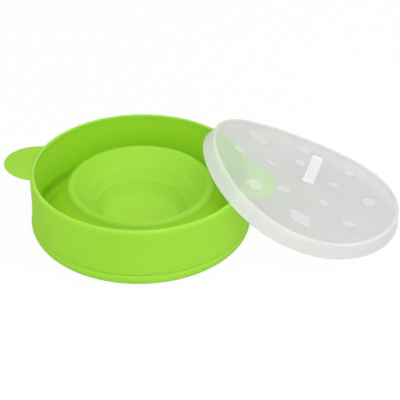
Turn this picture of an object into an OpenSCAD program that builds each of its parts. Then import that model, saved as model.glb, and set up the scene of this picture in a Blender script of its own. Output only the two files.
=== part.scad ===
// Collapsible popcorn bowl, folded flat, with its soft lid leaning on the rim.
// One silicone skin runs from the rim lip down the wall, under the foot, up the fold, over the crest
// and down the dish to the floor. Each zone of that skin is a slice of one section path.
// Millimetres, +Z up. The bowl's axis is the Z axis, z = 0 is the table, and the ears lie along X.

/* [Wall] */
// Outer radius of the rim lip
rim_r = 103.2; // [98:0.2:108]
// Height of the folded bowl, from the table to the top of the lip
wall_h = 60; // [56:1:66]
// How far the wall draws in at its waist, the narrowest place below the lip
waist_in = 0.4; // [0:0.1:1.2]
// Height of the waist
waist_z = 36; // [28:1:42]
// How far the foot stands out past the waist
foot_flare = 1.4; // [0.6:0.1:2]
// Height of the step line above the folded foot
step_z = 12.5; // [11:0.5:15]
// Thickness of the wall under the lip
wall_t = 4.2; // [3.2:0.1:4.6]
// Thickness of the wall at the step line
step_t = 2.6; // [2.2:0.1:3]
// Height of the lip's outer rounding
lip_h = 3.4; // [2.6:0.2:5]

/* [Fold] */
// Thickness of the skin where it folds
fold_t = 2; // [1.6:0.1:2.2]
// Mean radius of the turn under the wall
foot_turn = 7.5; // [6:0.1:8.5]
// Radius where the fold ends and the crest starts
fold_end_r = 68.6; // [66:0.1:72]
// Height where the fold ends and the crest starts
fold_end_z = 41.6; // [39:0.2:44]
// How hollow the slope of the fold is, where 1 is a straight cone
fold_hollow = 1.2; // [1.1:0.05:1.6]
// Mean radius of the round crest
crest_turn = 4.2; // [3.6:0.1:5.5]

/* [Dish] */
// Slope of the dish just inside the crest, in degrees
dish_slope = 42; // [39:1:47]
// Radius of the flat floor
floor_r = 30.5; // [27:0.5:32]
// Height of the middle of the floor's thickness
floor_z = 4.2; // [3.6:0.1:6]
// Thickness of the dish and the floor
dish_t = 2.2; // [1.8:0.1:2.6]
// Height of the two raised rings in the dish
ridge_h = 0.7; // [0.4:0.1:1.2]
// Steps of the dish's lower curve that the floor fills, which sets how wide it stands
base_steps = 2; // [1:1:3]

/* [Ears] */
// How far an ear reaches past the rim
ear_reach = 26.9; // [23:0.1:33]
// Half of an ear's width where it leaves the wall
ear_half = 29.2; // [25:0.2:31]
// Thickness of an ear
ear_t = 2.6; // [2:0.2:3.2]
// How far the ear under the lid is pressed down, in degrees
ear_droop = 20; // [20:1:26]

/* [Lid] */
// Radius of the lid's top edge
lid_r = 97; // [95:0.5:99]
// Height of the skirt
skirt_h = 15.2; // [12:0.2:18]
// Flare of the skirt at its lower edge
skirt_flare = 0.8; // [0.6:0.1:1.6]
// Height of the panel's crown over the lid's edge
lid_dome = 3.5; // [3.5:0.1:5]
// Thickness of the panel
panel_t = 1.6; // [1.2:0.1:1.8]
// Thickness of the skirt
skirt_t = 1.8; // [1.4:0.1:2.2]
// Width of the pull tab
tab_w = 11.5; // [8:0.5:14]
// Thickness of the pull tab
tab_t = 2.8; // [2:0.2:4]
// Height of the pull tab
tab_h = 27; // [20:1:32]
// Height of the raised puffs
puff_h = 0.8; // [0.4:0.1:1.2]

/* [Hidden] */

silicone_green = "#8ed72f";
lid_clear = "#d9d9d98c";
tab_white = "#f1f1f1";
$fn = 180;

// Section path of the skin

lip_z = wall_h - lip_h;
waist_r = rim_r - waist_in;
foot_centre_r = waist_r + foot_flare - fold_t / 2 - foot_turn;
foot_centre_z = foot_turn + fold_t / 2;

function mix(a, b, t) = a + (b - a) * t;
function unit(v) = v / norm(v);
function polar(c, r, a) = c + r * [cos(a), sin(a)];

// The wall's outside at height z: it flares to the lip and a little to the foot
function wall_out(z) = waist_r + (z > waist_z
    ? waist_in * pow((z - waist_z) / (lip_z - waist_z), 2)
    : foot_flare * pow((waist_z - z) / waist_z, 2));

wall_steps = 10;
wall_path = [for (i = [0:wall_steps]) let (t = i / wall_steps, z = mix(lip_z, step_z, t))
    [wall_out(z) - mix(wall_t, step_t, t) / 2, z]];
foot_path = [for (a = [0:15:90]) polar([foot_centre_r, foot_centre_z], foot_turn, -a)];
fold_path = [for (i = [1:12]) let (t = i / 12)
    [mix(foot_centre_r, fold_end_r, t), mix(fold_t / 2, fold_end_z, pow(t, fold_hollow))]];

// The crest turns from the fold's end slope to the dish's slope
fold_slope = atan2((fold_end_z - fold_t / 2) * fold_hollow, fold_end_r - foot_centre_r);
crest_centre = [fold_end_r, fold_end_z] - crest_turn * [sin(fold_slope), -cos(fold_slope)];
crest_turned = 180 + dish_slope - fold_slope;
crest_path = [for (i = [1:10])
    polar(crest_centre, crest_turn, fold_slope - 90 + crest_turned * i / 10)];

// The dish is one curve from the crest to the flat floor
dish_start = crest_path[len(crest_path) - 1];
dish_lead = 32;
floor_lead = 2.5;
dish_hand = dish_start - dish_lead * [cos(dish_slope), sin(dish_slope)];
function bezier(a, b, c, d, t) =
    pow(1 - t, 3) * a + 3 * t * pow(1 - t, 2) * b + 3 * t * t * (1 - t) * c + pow(t, 3) * d;
dish_path = [for (i = [1:14])
    bezier(dish_start, dish_hand, [floor_r + floor_lead, floor_z], [floor_r, floor_z], i / 14)];

skin = concat(wall_path, foot_path, fold_path, crest_path, dish_path);
wall_end = len(wall_path) - 1;
foot_end = wall_end + len(foot_path);
fold_end = foot_end + len(fold_path);
crest_end = fold_end + len(crest_path);
dish_end = crest_end + len(dish_path);

// Thickness along the path, and its two faces: side 1 is the outside of the open bowl, -1 the inside
function skin_t(i) = i <= wall_end ? mix(wall_t, step_t, i / wall_steps) : i <= crest_end ? fold_t : dish_t;
function along(i) = unit(skin[min(i + 1, dish_end)] - skin[max(i - 1, 0)]);
function outward(i) = let (d = i == 0 ? [0, -1] : i == dish_end ? [-1, 0] : along(i)) [-d[1], d[0]];
function face_point(i, side) = skin[i] + side * outward(i) * skin_t(i) / 2;

// A slice of the skin between two points of the path
module skin_slice(first, last, thickness = 0) {
    function at(i, side) = thickness == 0 ? face_point(i, side) : skin[i] + side * outward(i) * thickness / 2;
    rotate_extrude()
        polygon(concat([for (i = [first:last]) at(i, 1)], [for (i = [last:-1:first]) at(i, -1)]));
}

module upper_wall() color(silicone_green) skin_slice(0, wall_end);

module wall_foot() color(silicone_green) skin_slice(wall_end, foot_end, fold_t);

module fold_band() color(silicone_green) skin_slice(foot_end, fold_end);

module crest_ring() color(silicone_green) skin_slice(fold_end, crest_end, fold_t);

module dish() color(silicone_green) skin_slice(crest_end, dish_end, dish_t);

// Round top of the wall: wide outside, tight inside
lip_turn = 1.1;
lip_r = rim_r - wall_t + lip_turn;
lip_outside = [for (a = [0:15:90]) [lip_r + (rim_r - lip_r) * cos(a), lip_z + lip_h * sin(a)]];
lip_inside = [for (a = [120:30:180]) polar([lip_r, wall_h - lip_turn], lip_turn, a)];
module rim_lip() color(silicone_green) rotate_extrude()
    polygon(concat(lip_outside, lip_inside, [[rim_r - wall_t, lip_z]]));

// Two low rings raised on the inside of the dish
upper_ridge = crest_end + 2;
lower_ridge = crest_end + 5;
module dish_ridge(i) {
    a = face_point(i, -1);
    b = face_point(i + 1, -1);
    n = -outward(i);
    rotate_extrude() polygon([a, b, mix(a, b, 0.8) + n * ridge_h, mix(a, b, 0.2) + n * ridge_h]);
}

module dish_ridges() color(silicone_green) for (i = [upper_ridge, lower_ridge]) dish_ridge(i);

// Thick flat floor: it fills the dish's lower edge and its underside stands on the table
module floor_disc() {
    under = [for (i = [dish_end:-1:dish_end - base_steps]) face_point(i, 1)];
    base_r = under[base_steps][0];
    color(silicone_green) rotate_extrude()
        polygon(concat([[0, 0], [0, floor_z + dish_t / 2], face_point(dish_end, -1)], under, [[base_r, 0]]));
}

// Ears: half an ellipse about a centre inside the wall, as a crescent root and a flap that bends at its edge

ear_gap = 0.3;
ear_z = wall_h - 1.4;
hinge_x = rim_r + 2.6;
hinge_z = ear_z - ear_t / 2;
ear_x = rim_r - 6.2;
ear_long = rim_r + ear_reach - ear_x;
hinge_turn = acos((hinge_x - ear_x) / ear_long);
function ear_edge(a) = [ear_x + ear_long * cos(a), ear_half * sin(a)];

module ear_plate(outline) translate([0, 0, ear_z - ear_t]) linear_extrude(ear_t) polygon(outline);

module ear_root() {
    side = [for (i = [0:6]) ear_edge(mix(hinge_turn, 90, i / 6))];
    other_side = [for (i = [6:-1:0]) ear_edge(-mix(hinge_turn, 90, i / 6))];
    below = face_point(1, 1);
    color(silicone_green) difference() {
        ear_plate(concat(side, other_side));
        rotate_extrude() polygon(concat([[0, below[1]], below], lip_outside, [[0, wall_h]]));
        translate([hinge_x, 0, hinge_z]) rotate([90, 0, 0])
            cylinder(r = ear_t / 2 + ear_gap, h = 3 * ear_half, center = true);
    }
}

// The flap lies flat along +X, with its round root on the hinge line
module ear_flap() color(silicone_green) {
    ear_plate([for (i = [-16:16]) ear_edge(hinge_turn * i / 16)]);
    translate([hinge_x, 0, hinge_z]) rotate([90, 0, 0])
        cylinder(d = ear_t, h = 2 * ear_edge(hinge_turn)[1], center = true);
}

module bent_down(angle) translate([hinge_x, 0, hinge_z]) rotate([0, angle, 0])
    translate([-hinge_x, 0, -hinge_z]) children();

module right_ear_root() ear_root();

module left_ear_root() rotate(180) ear_root();

module right_ear() bent_down(ear_droop + lid_tilt - flat_tilt) ear_flap();

module left_ear() rotate(180) ear_flap();

// Lid: built flat about its own centre, then bent to a sag and leaned on the rim

sectors = 64;
panel_rings = 6;
sag_r = 310;
lid_bearing = 11.5;
lid_heading = 6.3;
lid_roll = -3.15;
lid_reach = rim_r + lid_r - 48.45;

// The lid rests on the rim and on the table: a taller rim leans it more, a taller skirt lifts it
flat_tilt = 21.9;
lid_span = 165;
rim_rise = wall_h - 60;
skirt_more = skirt_h - 15.2;
lid_tilt = flat_tilt + atan(rim_rise / lid_span);
lid_z = 38.35 + 0.57 * rim_rise + max(skirt_more, 0.8 * skirt_more) + max(0, 97 - lid_r);

// A point of the flat lid, raised by the panel's crown and bent to the sag
edge_w = 2;
panel_edge = lid_r - edge_w;
function crown(p) = lid_dome * max(0, 1 - (p[0] * p[0] + p[1] * p[1]) / (panel_edge * panel_edge));
function bend(p) = let (a = p[0] / sag_r * 180 / PI, r = sag_r - p[2] - crown(p))
    [r * sin(a), p[1], sag_r - r * cos(a)];

module leaned() translate([lid_reach * cos(lid_bearing), lid_reach * sin(lid_bearing), lid_z])
    rotate(lid_heading) rotate([0, lid_tilt, 0]) rotate([lid_roll, 0, 0]) children();

// A closed section of [radius, height] points, swept round the lid's axis and bent
module bent_ring(section) {
    n = len(section);
    points = [for (s = [0:sectors - 1], p = section)
        bend([p[0] * cos(s * 360 / sectors), p[0] * sin(s * 360 / sectors), p[1]])];
    function at(s, i) = (s % sectors) * n + i % n;
    faces = [for (s = [0:sectors - 1], i = [0:n - 1], half = [0, 1])
        half == 0 ? [at(s, i), at(s, i + 1), at(s + 1, i)]
                  : [at(s, i + 1), at(s + 1, i + 1), at(s + 1, i)]];
    polyhedron(points, faces);
}

// A plate between two heights whose edge is outline(k) for k in 0 to count - 1, bent with the lid
module bent_plate(outline, centre, low, high, rings) {
    n = len(outline);
    function ring(j, h) = [for (p = outline)
        let (q = mix(centre, p, j / rings)) bend([q[0], q[1], h])];
    points = concat(
        [bend([centre[0], centre[1], high]), bend([centre[0], centre[1], low])],
        [for (j = [1:rings]) each ring(j, high)], [for (j = [1:rings]) each ring(j, low)]);
    function at(level, j, k) = 2 + (level * rings + j - 1) * n + k % n;
    top = concat([for (k = [0:n - 1]) [0, at(0, 1, k + 1), at(0, 1, k)]],
        [for (j = [1:1:rings - 1], k = [0:n - 1], half = [0, 1]) half == 0
            ? [at(0, j, k), at(0, j, k + 1), at(0, j + 1, k)]
            : [at(0, j, k + 1), at(0, j + 1, k + 1), at(0, j + 1, k)]]);
    bottom = concat([for (k = [0:n - 1]) [1, at(1, 1, k), at(1, 1, k + 1)]],
        [for (j = [1:1:rings - 1], k = [0:n - 1], half = [0, 1]) half == 0
            ? [at(1, j, k), at(1, j + 1, k), at(1, j, k + 1)]
            : [at(1, j, k + 1), at(1, j + 1, k), at(1, j + 1, k + 1)]]);
    side = [for (k = [0:n - 1], half = [0, 1]) half == 0
        ? [at(0, rings, k), at(0, rings, k + 1), at(1, rings, k)]
        : [at(0, rings, k + 1), at(1, rings, k + 1), at(1, rings, k)]];
    polyhedron(points, concat(top, bottom, side));
}

module lid_panel() color(lid_clear) leaned()
    bent_plate([for (s = [0:sectors - 1]) polar([0, 0], panel_edge, s * 360 / sectors)],
        [0, 0], -panel_t, 0, panel_rings);

// Rounded shoulder between the panel and the skirt, a little proud of the panel
module lid_edge() color(lid_clear) leaned() bent_ring(concat(
    [[panel_edge, -panel_t], [panel_edge, 0]],
    [for (a = [150:-30:0]) polar([lid_r - edge_w / 2, -edge_w / 4], edge_w / 2, a)],
    [[lid_r, -edge_w - panel_t]], [[lid_r - skirt_t, -edge_w - panel_t]]));

skirt_top = -edge_w - panel_t;
module lid_skirt() color(lid_clear) leaned() bent_ring([
    [lid_r - skirt_t, skirt_top], [lid_r, skirt_top],
    [lid_r + skirt_flare * 0.4, -skirt_h * 0.7], [lid_r + skirt_flare, -skirt_h],
    [lid_r + skirt_flare - skirt_t, -skirt_h], [lid_r + skirt_flare * 0.4 - skirt_t, -skirt_h * 0.7]]);

// The tab stands on the panel, a little off its middle
tab_at = [5.8, 2.6];
boss_h = 1.2;
tab_z = bend([tab_at[0], tab_at[1], boss_h])[2];
module pull_tab() color(tab_white) leaned() translate([tab_at[0], tab_at[1], tab_z]) rotate([90, 0, 0])
    linear_extrude(tab_t, center = true) {
        corner = 2.5;
        translate([-tab_w / 2, 0]) square([tab_w, tab_h - corner]);
        translate([corner - tab_w / 2, 0]) square([tab_w - 2 * corner, tab_h]);
        for (x = [-1, 1]) translate([x * (tab_w / 2 - corner), tab_h - corner]) circle(r = corner);
    }

// Low oval boss that carries the pull tab
module pull_tab_boss() color(tab_white) leaned() bent_plate(
    [for (s = [0:35]) tab_at + [(tab_w / 2 + 3) * cos(s * 10), (tab_t / 2 + 3) * sin(s * 10)]],
    tab_at, 0, boss_h, 1);

// Lobed puffs in two rings round the pull tab, each a low raised patch
puff_sides = 40;
puff_oval = 0.72;
function puff_edge(size, turn, lobes) = [for (k = [0:puff_sides - 1])
    let (a = k * 360 / puff_sides, r = size * (0.84 + 0.26 * abs(cos(lobes * a / 2)) + 0.08 * cos(a - 40)))
    [r * cos(a) * cos(turn) - puff_oval * r * sin(a) * sin(turn),
     r * cos(a) * sin(turn) + puff_oval * r * sin(a) * cos(turn)]];

module puff(at, size, turn, lobes) bent_plate(
    [for (p = puff_edge(size, turn, lobes)) p + at], at, 0, puff_h, 1);

inner_puffs = 5;
outer_puffs = 8;
module lid_puffs() color(lid_clear) leaned() {
    for (k = [0:inner_puffs - 1])
        puff(polar([0, 0], 35, 18 + k * 360 / inner_puffs), 8 + 2 * (k % 2), k * 70, 4);
    for (k = [0:outer_puffs - 1])
        puff(polar([0, 0], 68, 40 + k * 360 / outer_puffs), 9 + 3.5 * (k % 3), 35 + k * 55, 5 - k % 2);
}

upper_wall();
rim_lip();
wall_foot();
fold_band();
crest_ring();
dish();
dish_ridges();
floor_disc();
left_ear_root();
left_ear();
right_ear_root();
right_ear();
lid_panel();
lid_edge();
lid_skirt();
pull_tab();
pull_tab_boss();
lid_puffs();
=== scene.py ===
"""A soft folding popcorn bowl, folded flat, with its clear lid leaning on the rim."""

import math

import bmesh
import bpy
import numpy as np
from mathutils import Matrix, Vector


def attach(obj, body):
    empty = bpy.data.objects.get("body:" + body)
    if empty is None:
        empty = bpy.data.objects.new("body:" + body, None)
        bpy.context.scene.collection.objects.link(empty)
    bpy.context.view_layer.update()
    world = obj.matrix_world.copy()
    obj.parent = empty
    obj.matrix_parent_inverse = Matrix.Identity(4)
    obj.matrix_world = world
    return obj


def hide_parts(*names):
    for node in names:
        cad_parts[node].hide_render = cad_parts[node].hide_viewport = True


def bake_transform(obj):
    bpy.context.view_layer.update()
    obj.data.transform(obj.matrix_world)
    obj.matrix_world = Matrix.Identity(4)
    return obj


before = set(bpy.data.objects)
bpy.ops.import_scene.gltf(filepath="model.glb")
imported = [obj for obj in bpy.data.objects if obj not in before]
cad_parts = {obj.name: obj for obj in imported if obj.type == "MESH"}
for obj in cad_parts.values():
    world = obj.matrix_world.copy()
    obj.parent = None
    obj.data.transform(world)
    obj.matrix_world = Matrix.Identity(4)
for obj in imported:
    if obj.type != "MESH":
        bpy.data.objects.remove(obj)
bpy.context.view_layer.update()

MM = 0.001

# Bowl section, in millimetres
RIM_R = 103.2
WALL_H = 60.0
WAIST_IN = 0.4
WAIST_Z = 36.0
STEP_Z = 12.5
WALL_T = 4.2
STEP_T = 2.6
LIP_H = 3.4
LIP_TURN = 1.1
FOLD_T = 2.0
FOOT_TURN = 7.5
FOOT_FLARE = 1.4
FOLD_END = np.array([68.6, 41.6])
FOLD_HOLLOW = 1.2
CREST_TURN = 4.2
DISH_SLOPE = 42.0
DISH_LEAD = 32.0
DISH_T = 2.2
FLOOR_R = 30.5
FLOOR_LEAD = 11.0
FLOOR_DISH = 0.9
FLOOR_Z = 4.2
BASE_R = 32.4

# Underside's rounded edge: how far in from the edge, and height
BASE_EDGE = ((0.0, 0.8), (0.25, 0.25), (0.8, 0.0))

# Groove at the step line: height over the line, shift of the skin's middle, thickness
STEP_GROOVE = (
    (0.7, -0.03, STEP_T),
    (0.2, -0.11, STEP_T - 0.15),
    (-0.3, -0.12, STEP_T - 0.25),
    (-0.9, 0.08, FOLD_T + 0.25),
    (-1.5, 0.4, FOLD_T + 0.15),
    (-2.3, 0.68, FOLD_T + 0.1),
    (-3.1, 0.83, FOLD_T + 0.05),
)

# Row of the groove at which the wall ends and the foot begins
GROOVE_SPLIT = 2

# Plain wall: how far it starts under the lip, and how far over the step line it ends
WALL_START = 0.8
WALL_STOP = 1.2

# Points along the section, and round the bowl and the lid
WALL_ROWS = 30
LIP_STEPS = 12
FOOT_STEPS = 14
FOLD_STEPS = 40
CREST_STEPS = 24
DISH_STEPS = 56
ROUND = 192

# Raised rings in the dish: the rows they lie at, half width in rows, its flat share, height
RIDGE_ROWS = (11.0, 22.5)
RIDGE_SPREAD = 2.4
RIDGE_FLAT = 0.45
RIDGE_H = 0.32

# Rows over which the dish grows to its own thickness
DISH_GROWS = 8

# Ears
EAR_REACH = 26.9
EAR_HALF = 29.2
EAR_X = RIM_R - 6.2
EAR_T = 2.6
EAR_DROOP = 20.0
EAR_Z = WALL_H - 1.4
EAR_ROOT = 0.6
EAR_BEND = 5.0
EAR_STEPS = 112
HINGE_X = RIM_R + 2.6

# Lid
LID_R = 97.0
SKIRT_H = 15.2
SKIRT_FLARE = 0.8
LID_DOME = 3.5
PANEL_T = 1.6
SKIRT_T = 1.8
EDGE_W = 2.0
SHOULDER_TURN = 1.0
SHOULDER_DROP = 0.5
SAG_R = 310.0
LID_TILT = 21.9
LID_ROLL = -3.15
LID_HEADING = 6.3
LID_BEARING = 11.5
LID_REACH = 151.75
LID_Z = 38.35

# Skirt: flare and height under the panel. Its inside turn under the panel: radius and height
SKIRT_ROWS = ((0.1, -6.5), (0.32, -10.6), (0.6, -13.4))
INSIDE_TURN = ((94.9, -2.8), (94.2, -2.0), (93.2, -PANEL_T))

# Pull tab on its boss
TAB_AT = (5.8, 2.6)
TAB_W = 11.5
TAB_T = 2.8
TAB_H = 27.0
TAB_LEAN = 2.0
TAB_CURL = 1.3
TAB_CORNER = 2.5
TAB_EDGE = 0.9
TAB_ROUND = 48
BOSS_H = 1.2

# Boss and foot of the tab: height over the panel, extra width, extra thickness
TAB_FOOT = (
    (-0.4, 2.6, 2.4),
    (0.4, 2.4, 2.2),
    (0.75, 2.0, 1.8),
    (1.0, 1.4, 1.3),
    (1.25, 0.9, 0.8),
    (1.9, 0.4, 0.3),
    (3.0, 0.1, 0.1),
    (4.2, 0.0, 0.0),
)

# Raised puffs
PUFF_H = 0.52
PUFF_ROOT = -0.3
PUFF_OVAL = 0.72
PUFF_ROUND = 80
INNER_RING = 35
OUTER_RING = 68

# Puff's crown: share of its outline, height over the panel
PUFF_CROWN = (
    (0.9, PUFF_ROOT),
    (1.0, -0.02),
    (0.94, 0.02),
    (0.87, 0.07),
    (0.78, 0.15),
    (0.68, 0.25),
    (0.57, 0.35),
    (0.43, 0.44),
    (0.23, 0.5),
)

# Sharpest turn, in degrees, over which a soft skin is shaded smooth
SOFT_TURN = 60.0


# Section of the bowl's skin

LIP_Z = WALL_H - LIP_H
LIP_R = RIM_R - WALL_T + LIP_TURN
WAIST_R = RIM_R - WAIST_IN
FOOT_CENTRE = np.array([WAIST_R + FOOT_FLARE - FOLD_T / 2 - FOOT_TURN, FOOT_TURN + FOLD_T / 2])


def polar(centre, radius, degrees):
    """The point at a radius and an angle from a centre."""
    a = math.radians(degrees)
    return np.asarray(centre, float) + radius * np.array([math.cos(a), math.sin(a)])


def rounded(centre, radius, first, last, steps):
    """Points along an arc between two angles."""
    return [polar(centre, radius, first + (last - first) * i / steps) for i in range(steps + 1)]


def ease(t):
    """0 to 1, with a soft start and end."""
    t = min(max(t, 0.0), 1.0)
    return t * t * (3 - 2 * t)


def wall_out(z):
    """Radius of the wall's outside at a height."""
    if z > WAIST_Z:
        return WAIST_R + WAIST_IN * ((z - WAIST_Z) / (LIP_Z - WAIST_Z)) ** 2
    return WAIST_R + FOOT_FLARE * ((WAIST_Z - z) / WAIST_Z) ** 2


def wall_thick(z):
    """Thickness of the wall at a height, growing from the step line to the lip."""
    share = min(max((z - STEP_Z) / (LIP_Z - STEP_Z), 0.0), 1.0)
    return STEP_T + (WALL_T - STEP_T) * share


def wall_mid(z):
    """Radius of the middle of the wall's thickness at a height."""
    return wall_out(z) - wall_thick(z) / 2


def fold_point(t):
    """Middle of the fold, from the foot at 0 to the crest at 1."""
    start_z = FOLD_T / 2
    return np.array([
        FOOT_CENTRE[0] + (FOLD_END[0] - FOOT_CENTRE[0]) * t,
        start_z + (FOLD_END[1] - start_z) * t ** FOLD_HOLLOW,
    ])


def crest_points():
    """Middle of the round crest, after the fold's end."""
    rise = (FOLD_END[1] - FOLD_T / 2) * FOLD_HOLLOW
    slope = math.degrees(math.atan2(rise, FOLD_END[0] - FOOT_CENTRE[0]))
    a = math.radians(slope)
    centre = FOLD_END - CREST_TURN * np.array([math.sin(a), -math.cos(a)])
    turned = 180 + DISH_SLOPE - slope
    return [polar(centre, CREST_TURN, slope - 90 + turned * i / CREST_STEPS)
            for i in range(1, CREST_STEPS + 1)]


def dish_points(start):
    """Middle of the dish, from the crest's end to the edge of the floor."""
    a = math.radians(DISH_SLOPE)
    hand = start - DISH_LEAD * np.array([math.cos(a), math.sin(a)])
    end = np.array([FLOOR_R, FLOOR_Z + FLOOR_DISH])
    low = end + FLOOR_LEAD * np.array([1.0, 2 * FLOOR_DISH / FLOOR_R])
    points = []
    for i in range(1, DISH_STEPS + 1):
        t = i / DISH_STEPS
        s = 1 - t
        points.append(s ** 3 * start + 3 * t * s ** 2 * hand + 3 * t * t * s * low + t ** 3 * end)
    return points


def sides(path, thickness):
    """The two faces of a path: the outside of the open bowl, and its inside."""
    path = np.asarray(path, float)
    along = np.gradient(path, axis=0)
    along /= np.linalg.norm(along, axis=1)[:, None]
    out = np.stack([-along[:, 1], along[:, 0]], 1)
    half = np.asarray(thickness, float).reshape(-1, 1) / 2
    return path + out * half, path - out * half


# Meshes

def add_piece(name, points, faces, crease=SOFT_TURN):
    """A closed mesh piece from points in millimetres, faces outwards, smooth except over sharp edges."""
    mesh = bpy.data.meshes.new(name)
    mesh.from_pydata([tuple(MM * float(c) for c in p) for p in points], [], faces)
    mesh.validate()
    skin = bmesh.new()
    skin.from_mesh(mesh)
    bmesh.ops.recalc_face_normals(skin, faces=skin.faces)
    skin.to_mesh(mesh)
    skin.free()
    mesh.polygons.foreach_set("use_smooth", [True] * len(mesh.polygons))
    mesh.set_sharp_from_angle(angle=math.radians(crease))
    piece = bpy.data.objects.new(name, mesh)
    bpy.context.scene.collection.objects.link(piece)
    return piece


def turned_ring(name, section, place=None, crease=SOFT_TURN):
    """A closed section of (radius, height) points turned about Z. A radius of 0 closes on the axis."""
    points, index = [], []
    for radius, height in section:
        if radius < 1e-6:
            index.append([len(points)] * ROUND)
            points.append((0.0, 0.0, height))
            continue
        row = []
        for k in range(ROUND):
            a = 2 * math.pi * k / ROUND
            row.append(len(points))
            points.append((radius * math.cos(a), radius * math.sin(a), height))
        index.append(row)
    faces = []
    for i in range(len(section)):
        one, two = index[i], index[(i + 1) % len(section)]
        if one[0] == one[1] and two[0] == two[1]:
            continue
        for k in range(ROUND):
            n = (k + 1) % ROUND
            corners = [one[k], two[k], two[n], one[n]]
            face = [c for j, c in enumerate(corners) if c != corners[j - 1]]
            faces.append(face)
    if place:
        points = [place(p) for p in points]
    return add_piece(name, points, faces, crease)


def band(low, high, count):
    """Faces between two rings of points, by the number of each ring's first point."""
    faces = []
    for k in range(count):
        n = (k + 1) % count
        faces.append([low + k, low + n, high + n, high + k])
    return faces


# Bowl pieces

def make_wall():
    """Lip and waisted wall, and the turned foot below the step line, as two pieces of one skin."""
    heights = np.linspace(LIP_Z - WALL_START, STEP_Z + WALL_STOP, WALL_ROWS)
    groove = [(STEP_Z + rise, shift, thick) for rise, shift, thick in STEP_GROOVE]
    path = [np.array([wall_mid(z), z]) for z in heights]
    path += [np.array([wall_mid(z) + shift, z]) for z, shift, _ in groove]
    path += rounded(FOOT_CENTRE, FOOT_TURN, 0, -90, FOOT_STEPS)
    thick = [wall_thick(z) for z in heights]
    thick += [t for _, _, t in groove]
    thick += [FOLD_T] * (FOOT_STEPS + 1)
    outer, inner = sides(path, thick)
    outer[-1] = (FOOT_CENTRE[0], 0.0)
    # inside, the wall runs smoothly into the fold
    for i, (z, _, _) in enumerate(groove, WALL_ROWS):
        inner[i] = (wall_out(z) - STEP_T, z)
    turn_in = wall_out(groove[-1][0]) - STEP_T - FOOT_CENTRE[0]
    turn_centre = (FOOT_CENTRE[0], FOLD_T + turn_in)
    inner[-FOOT_STEPS - 1:] = rounded(turn_centre, turn_in, 0, -90, FOOT_STEPS)
    lip_inside = rounded((LIP_R, WALL_H - LIP_TURN), LIP_TURN, 180, 90, LIP_STEPS // 2)
    lip_outside = [(LIP_R + (RIM_R - LIP_R) * math.sin(a), LIP_Z + LIP_H * math.cos(a))
                   for a in np.linspace(0, math.pi / 2, LIP_STEPS + 1)[1:]]
    split = WALL_ROWS + GROOVE_SPLIT
    section = list(inner[split::-1]) + lip_inside + lip_outside + list(outer[:split + 1])
    wall = turned_ring("bowl_wall", section)
    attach(wall, "wall")
    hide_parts("upper_wall", "rim_lip")
    foot = turned_ring("bowl_foot", list(inner[:split - 1:-1]) + list(outer[split:]))
    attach(foot, "wall")
    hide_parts("wall_foot")
    return wall, foot


def make_fold():
    """The soft cone between foot and crest, turned about Z; in the real bowl this cone turns inside out
    as the wall rises.
    """
    path = [fold_point(i / FOLD_STEPS) for i in range(FOLD_STEPS + 1)]
    under, over = sides(path, [FOLD_T] * len(path))
    over[0] = (FOOT_CENTRE[0], FOLD_T)
    fold = turned_ring("bowl_fold", list(over) + list(under[::-1]))
    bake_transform(fold)
    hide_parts("fold_band")
    return fold


def make_middle():
    """Crest, dish with its raised rings, and the thick floor, in one skin."""
    crest = [FOLD_END] + crest_points()
    dish = dish_points(crest[-1])
    first = len(crest)
    thick = [FOLD_T] * first
    thick += [FOLD_T + (DISH_T - FOLD_T) * ease(i / DISH_GROWS) for i in range(len(dish))]
    under, over = sides(crest + dish, thick)
    normal = over - under
    normal /= np.linalg.norm(normal, axis=1)[:, None]
    ridge = np.zeros(len(thick))
    for row in RIDGE_ROWS:
        for i in range(len(dish)):
            gap = abs(i - row) / RIDGE_SPREAD
            ridge[first + i] += RIDGE_H * (1 - ease((gap - RIDGE_FLAT) / (1 - RIDGE_FLAT)))
    over = over + normal * ridge[:, None]
    floor_top = FLOOR_Z + DISH_T / 2
    floor = [(r, floor_top + FLOOR_DISH * (r / FLOOR_R) ** 2) for r in np.linspace(0, FLOOR_R, 9)]
    over[-1] = floor[-1]
    base_edge = int(np.argmin(np.abs(under[first:, 0] - BASE_R))) + first
    edge_r = float(under[base_edge][0])
    section = floor[:-1] + list(over[::-1]) + list(under[:base_edge + 1])
    section += [(edge_r - inset, z) for inset, z in BASE_EDGE]
    section += [(FLOOR_R * 0.5, 0.0), (0.0, 0.0)]
    middle = turned_ring("bowl_middle", section, crease=50.0)
    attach(middle, "base")
    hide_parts("crest_ring", "dish", "dish_ridges", "floor_disc")
    return middle


def ear_edge():
    """An ear's edge: half an ellipse about a centre inside the wall."""
    turns = np.linspace(math.pi / 2, -math.pi / 2, EAR_STEPS + 1)
    reach = RIM_R + EAR_REACH - EAR_X
    return np.stack([EAR_X + reach * np.cos(turns), EAR_HALF * np.sin(turns)], 1)


def bent(x, z, droop):
    """A point at x along the ear and z over its middle, with the bend spread round the hinge line."""
    s = x - HINGE_X
    share = min(max((s + EAR_BEND) / (2 * EAR_BEND), 0.0), 1.0)
    if droop == 0 or share == 0:
        return x, z
    angle = math.radians(droop) * share
    radius = 2 * EAR_BEND / math.radians(droop)
    past = max(s - EAR_BEND, 0.0)
    u = -EAR_BEND + radius * math.sin(angle) + past * math.cos(angle)
    w = -radius * (1 - math.cos(angle)) - past * math.sin(angle)
    return HINGE_X + u + z * math.sin(angle), w + z * math.cos(angle)


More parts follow.
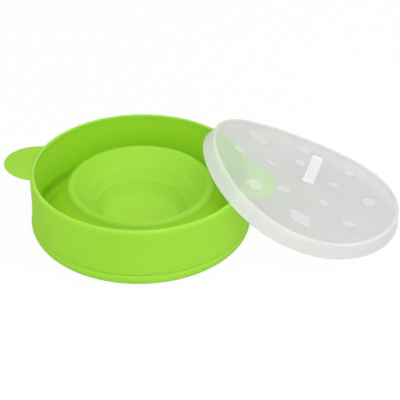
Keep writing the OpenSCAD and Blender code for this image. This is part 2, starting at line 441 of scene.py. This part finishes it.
def make_ear(name, body, turn, droop):
    """A flat soft ear with round edges that grows out of the wall, bent down, then turned about Z."""
    half_t = EAR_T / 2
    edge = ear_edge()
    along = np.gradient(edge, axis=0)
    along /= np.linalg.norm(along, axis=1)[:, None]
    inward = np.stack([along[:, 1], -along[:, 0]], 1)
    # the root is an arc inside the wall's thickness
    wide = math.atan2(edge[0][1], edge[0][0])
    turns = np.linspace(wide, -wide, len(edge))
    root = (LIP_R + EAR_ROOT) * np.stack([np.cos(turns), np.sin(turns)], 1)
    inner = edge + inward * half_t
    steps = np.linspace(0, 1, 15)[:-1]
    rows = [(root + (inner - root) * t, half_t) for t in steps]
    for k in range(11):
        a = math.radians(90 - 18 * k)
        rows.append((edge + inward * half_t * (1 - math.cos(a)), half_t * math.sin(a)))
    rows += [(root + (inner - root) * t, -half_t) for t in steps[::-1]]
    spin = Matrix.Rotation(math.radians(turn), 3, "Z")
    mid_z = EAR_Z - half_t
    points = []
    for places, z in rows:
        for x, y in places:
            px, pz = bent(x, z, droop)
            points.append(spin @ Vector((px, y, mid_z + pz)))
    count = len(edge)
    faces = []
    for j in range(len(rows)):
        one, two = j * count, (j + 1) % len(rows) * count
        for k in range(count - 1):
            faces.append([one + k + 1, one + k, two + k, two + k + 1])
    faces.append([j * count for j in range(len(rows))])
    faces.append([j * count + count - 1 for j in range(len(rows))][::-1])
    ear = add_piece(name, points, faces)
    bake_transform(ear)
    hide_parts(body, body + "_root")
    return ear


# Lid pieces

def lid_place():
    """Where the lid leans: its centre in millimetres, and its turn."""
    a = math.radians(LID_BEARING)
    centre = Vector((LID_REACH * math.cos(a), LID_REACH * math.sin(a), LID_Z))
    turn = Matrix.Identity(3)
    for degrees, axis in ((LID_HEADING, "Z"), (LID_TILT, "Y"), (LID_ROLL, "X")):
        turn = turn @ Matrix.Rotation(math.radians(degrees), 3, axis)
    return centre, turn


LID_CENTRE, LID_TURN = lid_place()


def leaned(p):
    """A point of the flat lid, raised by the panel's crown, bent to its sag and leaned on the rim."""
    crown = LID_DOME * max(0.0, 1 - (p[0] ** 2 + p[1] ** 2) / (LID_R - EDGE_W) ** 2)
    a = p[0] / SAG_R
    r = SAG_R - p[2] - crown
    return LID_CENTRE + LID_TURN @ Vector((r * math.sin(a), p[1], SAG_R - r * math.cos(a)))


def make_lid_shell():
    """Panel, rounded shoulder and skirt, in one soft shell."""
    panel_edge = LID_R - EDGE_W
    section = [(0.0, 0.0)] + [(r, 0.0) for r in np.linspace(4, panel_edge - 1.0, 20)]
    section += [(panel_edge - 0.4, 0.08)]
    section += rounded((LID_R - SHOULDER_TURN, -SHOULDER_DROP), SHOULDER_TURN, 125, 0, 8)
    section += [(LID_R, -3.4)] + [(LID_R + flare, z) for flare, z in SKIRT_ROWS]
    hem = SKIRT_T / 2
    section += rounded((LID_R + SKIRT_FLARE - hem, -SKIRT_H + hem), hem, 0, -180, 8)
    section += [(LID_R + flare - SKIRT_T, z) for flare, z in SKIRT_ROWS[::-1]]
    section += [(LID_R - SKIRT_T, -4.0)]
    section += INSIDE_TURN
    section += [(r, -PANEL_T) for r in np.linspace(90, 4, 19)] + [(0.0, -PANEL_T)]
    shell = turned_ring("lid_shell", section[::-1], place=leaned)
    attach(shell, "lid")
    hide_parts("lid_panel", "lid_edge", "lid_skirt")
    return shell


def puff_places():
    """Each puff's middle, size, turn and number of lobes, in two rings round the pull tab."""
    places = []
    for k in range(5):
        places.append((polar((0, 0), INNER_RING, 18 + k * 72), 8 + 2 * (k % 2), k * 70, 4))
    for k in range(8):
        places.append((polar((0, 0), OUTER_RING, 40 + k * 45), 9 + 3.5 * (k % 3), 35 + k * 55, 5 - k % 2))
    return places


def puff_edge(size, turn, lobes):
    """A puff's lobed oval outline, a little fuller on one side."""
    a = math.radians(turn)
    edge = []
    for k in range(PUFF_ROUND):
        b = 2 * math.pi * k / PUFF_ROUND
        r = size * (0.84 + 0.26 * abs(math.cos(lobes * b / 2)) + 0.08 * math.cos(b - math.radians(40)))
        x, y = r * math.cos(b), PUFF_OVAL * r * math.sin(b)
        edge.append(np.array([x * math.cos(a) - y * math.sin(a), x * math.sin(a) + y * math.cos(a)]))
    return edge


def make_puffs():
    """Low lobed puffs, soft at their edges."""
    points, faces = [], []
    n = PUFF_ROUND
    for centre, size, turn, lobes in puff_places():
        edge = puff_edge(size, turn, lobes)
        first = len(points)
        last = first + (len(PUFF_CROWN) - 1) * n
        for share, height in PUFF_CROWN:
            points += [leaned((*(centre + share * p), height)) for p in edge]
        points.append(leaned((*centre, PUFF_H)))
        points.append(leaned((*centre, PUFF_ROOT)))
        for low in range(first, last, n):
            faces += band(low, low + n, n)
        for k in range(n):
            m = (k + 1) % n
            faces.append([last + k, last + m, last + n])
            faces.append([first + m, first + k, last + n + 1])
    piece = add_piece("lid_puffs_soft", points, faces, crease=80.0)
    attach(piece, "lid")
    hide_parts("lid_puffs")
    return piece


def tab_stations(top):
    """Height, width and thickness of the pull tab, from its foot to its round top."""
    stations = [(z, TAB_W + wider, TAB_T + thicker) for z, wider, thicker in TAB_FOOT]
    stations += [(z, TAB_W, TAB_T) for z in np.linspace(7, top - TAB_CORNER - 0.4, 6)]
    for k in range(1, 9):
        a = math.radians(90 * k / 8)
        z = top - TAB_CORNER + TAB_CORNER * math.sin(a)
        inset = TAB_CORNER * (1 - math.cos(a))
        side = TAB_EDGE * (1 - math.cos(a))
        stations.append((z, TAB_W - 2 * inset, TAB_T - 2 * side))
    return stations


def make_tab():
    """Upright pull tab with round edges on its low oval boss."""
    top = BOSS_H + TAB_H
    stations = tab_stations(top)
    stand = leaned((*TAB_AT, 0.0))
    points, faces = [], []
    for z, w, t in stations:
        # oval at the boss, squarer up the tab
        power = 2.0 + 4.0 * ease((z - 1.3) / 2.5)
        lean = TAB_LEAN * max(z / top, 0.0) ** TAB_CURL
        for k in range(TAB_ROUND):
            a = 2 * math.pi * k / TAB_ROUND
            c, s = math.cos(a), math.sin(a)
            x = w / 2 * math.copysign(abs(c) ** (2 / power), c)
            y = t / 2 * math.copysign(abs(s) ** (2 / power), s)
            points.append(stand + LID_TURN @ Vector((x - lean, y, z)))
    last = (len(stations) - 1) * TAB_ROUND
    for low in range(0, last, TAB_ROUND):
        faces += band(low, low + TAB_ROUND, TAB_ROUND)
    faces.append(list(range(TAB_ROUND))[::-1])
    faces.append([last + k for k in range(TAB_ROUND)])
    piece = add_piece("lid_pull_tab", points, faces, crease=50.0)
    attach(piece, "lid")
    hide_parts("pull_tab", "pull_tab_boss")
    return piece


# Finishes

class Wire:
    """One socket of a finish. Arithmetic on it adds Math nodes, and node() adds any other node."""

    def __init__(self, socket):
        self.socket = socket
        self.tree = socket.id_data

    def node(self, kind, settings=None, inputs=None, output=0):
        """A new node: its settings first, then the values or links of its sockets."""
        made = self.tree.nodes.new(kind)
        for key, value in (settings or {}).items():
            setattr(made, key, value)
        for key, value in (inputs or {}).items():
            if isinstance(value, Wire):
                self.tree.links.new(value.socket, made.inputs[key])
            else:
                made.inputs[key].default_value = value
        return Wire(made.outputs[output])

    def math(self, operation, *values):
        return self.node("ShaderNodeMath", {"operation": operation}, dict(enumerate(values)))

    def __add__(self, other):
        return self.math("ADD", self, other)

    __radd__ = __add__

    def __sub__(self, other):
        return self.math("SUBTRACT", self, other)

    def __rsub__(self, other):
        return self.math("SUBTRACT", other, self)

    def __mul__(self, other):
        return self.math("MULTIPLY", self, other)

    __rmul__ = __mul__

    def __truediv__(self, other):
        return self.math("DIVIDE", self, other)

    def __pow__(self, other):
        return self.math("POWER", self, other)

    def larger(self, other):
        return self.math("MAXIMUM", self, other)

    def between(self, low, high):
        """0 below low, 1 above high, smooth between."""
        return self.node("ShaderNodeMapRange", {"interpolation_type": "SMOOTHSTEP"},
                         {"Value": self, "From Min": low, "From Max": high})

    def tint(self, one, two):
        """Colour one where this is 0, colour two where it is 1."""
        return self.node("ShaderNodeMix", {"data_type": "RGBA"}, {0: self, 6: one, 7: two}, 2)

    def noise(self, scale, detail, roughness=0.55):
        """Noise at this place, with its features about 1/scale metres apart."""
        return self.node("ShaderNodeTexNoise", None,
                         {"Vector": self, "Scale": scale, "Detail": detail, "Roughness": roughness})


def finish(name):
    """A new material: its shader node, and the place on the piece as a wire."""
    material = bpy.data.materials.new(name)
    material.use_nodes = True
    shader = material.node_tree.nodes["Principled BSDF"]
    coordinates = material.node_tree.nodes.new("ShaderNodeTexCoord")
    return material, shader, Wire(coordinates.outputs["Object"])


def feed(shader, **wires):
    """Links wires to the shader's sockets, named with _ for a space."""
    for key, wire in wires.items():
        shader.id_data.links.new(wire.socket, shader.inputs[key.replace("_", " ")])


def parts_of(place):
    """The x, y and z of a place."""
    split = place.node("ShaderNodeSeparateXYZ", None, {"Vector": place})
    return [Wire(split.socket.node.outputs[k]) for k in range(3)]


def rgb(red, green, blue):
    """A colour from display values of 0 to 255, as the shader takes it."""
    def linear(v):
        v /= 255
        return v / 12.92 if v <= 0.04045 else ((v + 0.055) / 1.055) ** 2.4
    return (linear(red), linear(green), linear(blue), 1.0)


def glow_through(shader, share, colours, depth):
    """Light soaks into the skin to a depth in metres, and comes out nearby or on its other side."""
    shader.inputs["Subsurface Weight"].default_value = share
    shader.inputs["Subsurface Radius"].default_value = colours
    shader.inputs["Subsurface Scale"].default_value = depth


GRAIN_DEPTH = 0.0002


def grained(shader, grain, strength):
    """Fine relief from a noise."""
    feed(shader, Normal=grain.node("ShaderNodeBump", None, {
        "Strength": strength, "Distance": GRAIN_DEPTH, "Height": grain}))


# Greens of the bowl: its skin's two shades, and painted light and shade inside: lighter greens in the
# trough, on the fold and in the dish, and a darker green in the foot's corner
SKIN_GREENS = (rgb(157, 215, 61), rgb(163, 220, 69))
TROUGH_PAINTED_LIGHT = rgb(174, 224, 58)
FOLD_PAINTED_LIGHT = rgb(193, 238, 56)
CORNER_PAINTED_SHADE = rgb(160, 210, 44)
DISH_PAINTED_LIGHT = rgb(170, 221, 76)

# Where the painted light and shade lie, in metres: soft inner edge, soft outer edge, soft upper edge
WALL_FACE = (0.1012, 0.1022)
TROUGH = ((0.0705, 0.075), WALL_FACE, (0.05, 0.059))
FOLD_SIDE = ((0.0685, 0.0715), (0.09, 0.0955), (0.03, 0.0465))
CORNER = ((0.093, 0.0957), WALL_FACE, (0.006, 0.02))
DISH_EDGE = (0.045, 0.06)

# Polished lip: its soft lower edge and its soft inner edge
LIP_FROM = (0.0587, 0.0595)
LIP_INSIDE = (0.0985, 0.0995)

# How far red, green and blue light soak into the green skin and into white plastic
GREEN_SOAK = (1.25, 1.0, 0.15)
WHITE_SOAK = (1.0, 1.0, 1.0)


def silicone(name, soak):
    """Matte moulded silicone: faint clouding, fine grain, painted light in the trough, on the fold and in
    the dish, painted shade in the foot's corner, polished lip.
    """
    material, shader, place = finish(name)
    x, y, z = parts_of(place)
    radius = (x * x + y * y) ** 0.5

    def hollow(inner, outer, upper):
        return radius.between(*inner) * (1 - radius.between(*outer)) * (1 - z.between(*upper))

    cloud = place.noise(14, 2)
    speck = place.noise(420, 2)
    shade = (cloud * 0.75 + speck * 0.25).between(0.3, 0.7).tint(*SKIN_GREENS)
    # painted light: a brighter, warmer green in the trough between wall and crest, standing in for light
    # soaking through the wall and bouncing inside
    shade = hollow(*TROUGH).tint(shade, TROUGH_PAINTED_LIGHT)
    # painted light: a lighter green low on the fold, where the trough lies in shade
    shade = hollow(*FOLD_SIDE).tint(shade, FOLD_PAINTED_LIGHT)
    # painted shade: a darker green in the corner where the wall's foot meets the fold
    shade = hollow(*CORNER).tint(shade, CORNER_PAINTED_SHADE)
    # painted light: a brighter green over the dish, standing in for light bounced inside the bowl
    dish = 1 - radius.between(*DISH_EDGE)
    feed(shader, Base_Color=dish.tint(shade, DISH_PAINTED_LIGHT))
    feed(shader, Roughness=0.5 + 0.12 * cloud + 0.06 * speck)
    grained(shader, place.noise(2600, 2, 0.7), 0.12)
    lip = z.between(*LIP_FROM) * radius.between(*LIP_INSIDE)
    feed(shader, Coat_Weight=0.7 * lip)
    shader.inputs["Coat Roughness"].default_value = 0.4
    shader.inputs["Specular IOR Level"].default_value = 0.06
    glow_through(shader, soak, GREEN_SOAK, 0.005)
    return material


def lid_frame(place):
    """The x, y and z of a place in the lid's own frame, before it leans."""
    own = place.node("ShaderNodeMapping", {"vector_type": "TEXTURE"}, {
        "Vector": place, "Location": LID_CENTRE * MM, "Rotation": LID_TURN.to_euler()})
    return parts_of(own)


def light_passing(place):
    """1 for what is seen, and low for shadow rays: most light goes through, so the lid hardly shades."""
    return 1 - 0.75 * place.node("ShaderNodeLightPath", output="Is Shadow Ray")


# Lid's soft plastic: where its dense shoulder starts, in metres, and how dense panel and shoulder are
HEM_FROM = (0.0918, 0.0942)
PANEL_DENSE = 0.36
HEM_DENSE = 0.26
PUFF_DENSE = 0.38

# Height over the panel, in metres, through which a puff fades in
PUFF_FADE = (-0.00001, 0.00026)


def frosted_lid():
    """Frosted soft plastic that lets the bowl show through: denser at the shoulder and skirt."""
    material, shader, place = finish("frosted_lid")
    x, y, _ = lid_frame(place)
    hem = ((x * x + y * y) ** 0.5).between(*HEM_FROM)
    cloud = place.noise(30, 3)
    shade = hem.larger(0.4 * cloud + 0.3)
    feed(shader, Base_Color=shade.tint(rgb(249, 249, 249), rgb(246, 246, 246)))
    dense = PANEL_DENSE + HEM_DENSE * hem + 0.05 * (cloud - 0.5)
    feed(shader, Alpha=dense * light_passing(place))
    feed(shader, Roughness=0.36 + 0.16 * cloud)
    grained(shader, place.noise(1500, 2, 0.6), 0.15)
    shader.inputs["Specular IOR Level"].default_value = 0.4
    glow_through(shader, 0.8, WHITE_SOAK, 0.006)
    return material


def frosted_puffs():
    """The lid's plastic where it is raised: paler, and fading in with its height over the panel."""
    material, shader, place = finish("frosted_puffs")
    x, y, z = lid_frame(place)
    sag = SAG_R * MM
    crown = LID_DOME * MM * (1 - (x * x + y * y) / ((LID_R - EDGE_W) * MM) ** 2)
    height = sag - (x * x + (sag - z) ** 2) ** 0.5 - crown
    cloud = place.noise(30, 3)
    feed(shader, Base_Color=cloud.tint(rgb(250, 250, 250), rgb(253, 253, 253)))
    feed(shader, Alpha=PUFF_DENSE * height.between(*PUFF_FADE) * light_passing(place))
    feed(shader, Roughness=0.4 + 0.16 * cloud)
    shader.inputs["Specular IOR Level"].default_value = 0.3
    return material


def white_tab():
    """White soft plastic with a faint grain."""
    material, shader, place = finish("white_tab")
    cloud = place.noise(90, 3)
    feed(shader, Base_Color=cloud.tint(rgb(239, 239, 239), rgb(245, 245, 245)))
    feed(shader, Roughness=0.38 + 0.15 * cloud)
    grained(shader, place.noise(2200, 2, 0.6), 0.12)
    shader.inputs["Specular IOR Level"].default_value = 0.3
    glow_through(shader, 0.7, WHITE_SOAK, 0.005)
    return material


def dress(piece, material):
    """Gives a piece its finish."""
    piece.data.materials.clear()
    piece.data.materials.append(material)


# light soaks through the upright wall, and the rest of the skin has the plain finish
wall_green = silicone("green_wall", 0.8)
skin_green = silicone("green_skin", 0.0)
wall_piece, foot_piece = make_wall()
dress(wall_piece, wall_green)
for bowl_piece in (foot_piece, make_fold(), make_middle(), make_ear("ear_left", "left_ear", 180, 0.0),
                   make_ear("ear_right", "right_ear", 0, EAR_DROOP)):
    dress(bowl_piece, skin_green)

dress(make_lid_shell(), frosted_lid())
dress(make_puffs(), frosted_puffs())
dress(make_tab(), white_tab())


# Stage, light and camera

WHITE = (1, 1, 1, 1)

# White floor under the bowl: half its side and its gap in metres, its paint straight, and its painted
# shade where it is seen through the lid
STAGE_HALF = 6.0
STAGE_GAP = 0.0002
STAGE_PALE = (0.9, 0.9, 0.9, 1)
STAGE_SHADE_THROUGH_LID = (0.5, 0.5, 0.5, 1)
STAGE_GLOW = 0.95

# Strength of the sky's light, and lamps: name, place, aim and size in metres, power in watts
SKY_LIGHT = 0.61
LAMPS = (
    ("key", (0.25, -1.0, 2.1), (0.05, 0, 0.03), 1.4, 17.5),
    ("side", (1.3, 0.25, 1.3), (-0.05, 0, 0.03), 1.0, 4),
    ("fill", (0.25, -1.9, 0.9), (0.05, 0, 0.03), 1.2, 6),
)

# Camera: place in metres, turns in degrees, lens and sensor in millimetres
CAMERA_AT = (0.21986, -1.16177, 0.81827)
CAMERA_TURNS = ((8.0, "Z"), (56.13, "X"), (0.29, "Z"))
LENS = 135.0
SENSOR = 36.0


def seen_ray(path):
    """1 where the camera sees the stage, straight, in a reflection or through the lid."""
    seen = Wire(path.outputs["Is Camera Ray"])
    seen = seen.larger(Wire(path.outputs["Is Glossy Ray"]))
    return seen.larger(Wire(path.outputs["Is Transmission Ray"]))


def make_stage():
    """A plain white floor that shows white to the camera and keeps a faint shadow, with a painted shade
    where it is seen through the lid.
    """
    mesh = bpy.data.meshes.new("floor")
    corners = [(x * STAGE_HALF, y * STAGE_HALF, 0) for x, y in ((-1, -1), (1, -1), (1, 1), (-1, 1))]
    mesh.from_pydata(corners, [], [(0, 1, 2, 3)])
    floor = bpy.data.objects.new("floor", mesh)
    floor.location.z = -STAGE_GAP
    bpy.context.scene.collection.objects.link(floor)
    material = bpy.data.materials.new("white_floor")
    material.use_nodes = True
    tree = material.node_tree
    tree.nodes.clear()
    out = tree.nodes.new("ShaderNodeOutputMaterial")
    path = tree.nodes.new("ShaderNodeLightPath")
    seen = seen_ray(path)
    veiled = Wire(path.outputs["Transparent Depth"]).between(0.0, 1.0)
    # painted shade: the floor seen through the lid is painted grey, standing in for the shadow that the
    # lid hardly casts
    shade = veiled.tint(STAGE_PALE, STAGE_SHADE_THROUGH_LID)
    lit = seen.node("ShaderNodeBsdfDiffuse", None, {"Color": shade})
    glow = seen.node("ShaderNodeEmission", None, {"Color": WHITE, "Strength": 1.0})
    both = seen.node("ShaderNodeMixShader", None, {0: seen * (1 - veiled) * STAGE_GLOW, 1: lit, 2: glow})
    tree.links.new(both.socket, out.inputs["Surface"])
    mesh.materials.append(material)


def make_light():
    """A soft white sky and three broad lamps."""
    world = bpy.data.worlds.new("studio")
    bpy.context.scene.world = world
    world.use_nodes = True
    tree = world.node_tree
    tree.nodes.clear()
    out = tree.nodes.new("ShaderNodeOutputWorld")
    seen = seen_ray(tree.nodes.new("ShaderNodeLightPath"))
    strength = SKY_LIGHT + (1 - SKY_LIGHT) * seen
    sky = seen.node("ShaderNodeBackground", None, {"Color": WHITE, "Strength": strength})
    tree.links.new(sky.socket, out.inputs["Surface"])
    for name, place, aim, size, power in LAMPS:
        lamp = bpy.data.lights.new(name, "AREA")
        lamp.size = size
        lamp.energy = power
        holder = bpy.data.objects.new(name, lamp)
        holder.location = place
        holder.rotation_euler = (Vector(aim) - Vector(place)).to_track_quat("-Z", "Y").to_euler()
        bpy.context.scene.collection.objects.link(holder)


def make_camera():
    """A long lens from the photo's side, looking down into the bowl."""
    camera = bpy.data.cameras.new("camera")
    camera.lens = LENS
    camera.sensor_width = SENSOR
    holder = bpy.data.objects.new("camera", camera)
    aim = Matrix.Identity(4)
    for degrees, axis in CAMERA_TURNS:
        aim = aim @ Matrix.Rotation(math.radians(degrees), 4, axis)
    holder.matrix_world = Matrix.Translation(CAMERA_AT) @ aim
    bpy.context.scene.collection.objects.link(holder)
    bpy.context.scene.camera = holder


make_stage()
make_light()
make_camera()
bpy.context.scene.view_settings.view_transform = "Standard"
